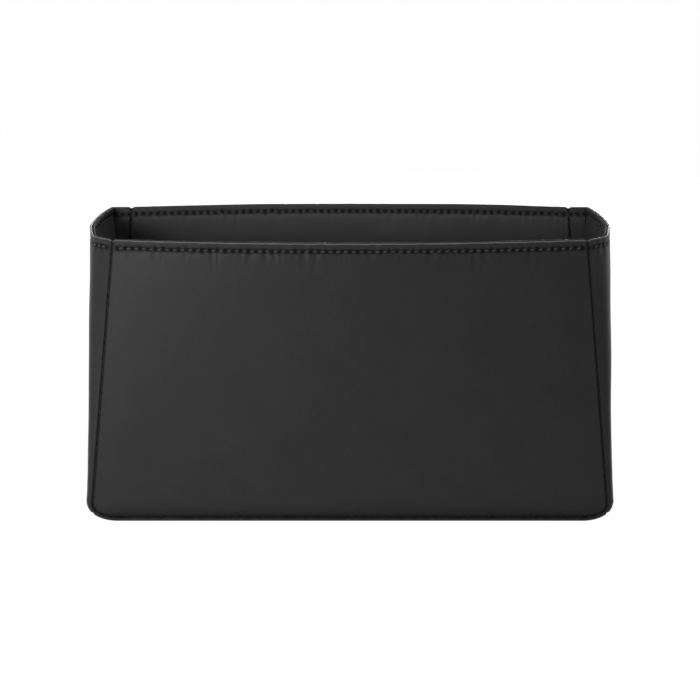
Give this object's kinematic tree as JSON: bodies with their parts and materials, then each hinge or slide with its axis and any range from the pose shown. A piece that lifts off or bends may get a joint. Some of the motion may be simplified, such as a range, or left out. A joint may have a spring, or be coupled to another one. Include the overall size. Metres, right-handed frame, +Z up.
{
  "type": "purse organizer insert",
  "caption": "Open-topped soft box of black satin cloth with stiffened walls, wrapped end gussets, a topstitched rim and inner slip pockets, made to stand inside a purse.",
  "frame": {"origin": "on the floor under the middle of the base", "axes": "+X along the length to the right seen from the front, +Y from the front wall to the back wall, +Z up"},
  "size_m": [0.26, 0.1, 0.14],
  "materials": {
    "satin": "black satin, fine twill",
    "lining": "black satin lining",
    "board": "flexible plastic board",
    "interlining": "black felt",
    "thread": "black sewing thread"
  },
  "bodies": {
    "base": {"outer_base_panel": "satin", "base_board": "board", "lining_base_panel": "lining", "outer_left_gusset": "satin", "left_gusset_interlining": "interlining", "lining_left_gusset": "lining", "left_rim_thread": "thread", "left_rim_bobbin_thread": "thread", "outer_right_gusset": "satin", "right_gusset_interlining": "interlining", "lining_right_gusset": "lining", "right_rim_thread": "thread", "right_rim_bobbin_thread": "thread"},
    "front_wall": {"front_outer_panel": "satin", "front_board": "board", "front_lining_panel": "lining", "front_rim_thread": "thread", "front_rim_bobbin_thread": "thread", "front_slip_pocket": "lining", "front_pocket_hem_thread": "thread", "front_pocket_seam_thread": "thread", "front_pocket_divider_thread": "thread"},
    "back_wall": {"back_outer_panel": "satin", "back_board": "board", "back_lining_panel": "lining", "back_rim_thread": "thread", "back_rim_bobbin_thread": "thread", "back_slip_pocket": "lining", "back_pocket_hem_thread": "thread", "back_pocket_seam_thread": "thread", "back_pocket_divider_thread": "thread"}
  },
  "joints": [
    {"name": "front_wall_lean", "type": "hinge", "parent": "base", "child": "front_wall", "pos_m": [0, -0.04975, 0.0024], "axis": [-1, 0, 0], "range_deg": [-3, 15], "stiffness_Nm_per_rad": 1},
    {"name": "back_wall_lean", "type": "hinge", "parent": "base", "child": "back_wall", "pos_m": [0, 0.04975, 0.0024], "axis": [1, 0, 0], "range_deg": [-3, 15], "stiffness_Nm_per_rad": 1}
  ]
}
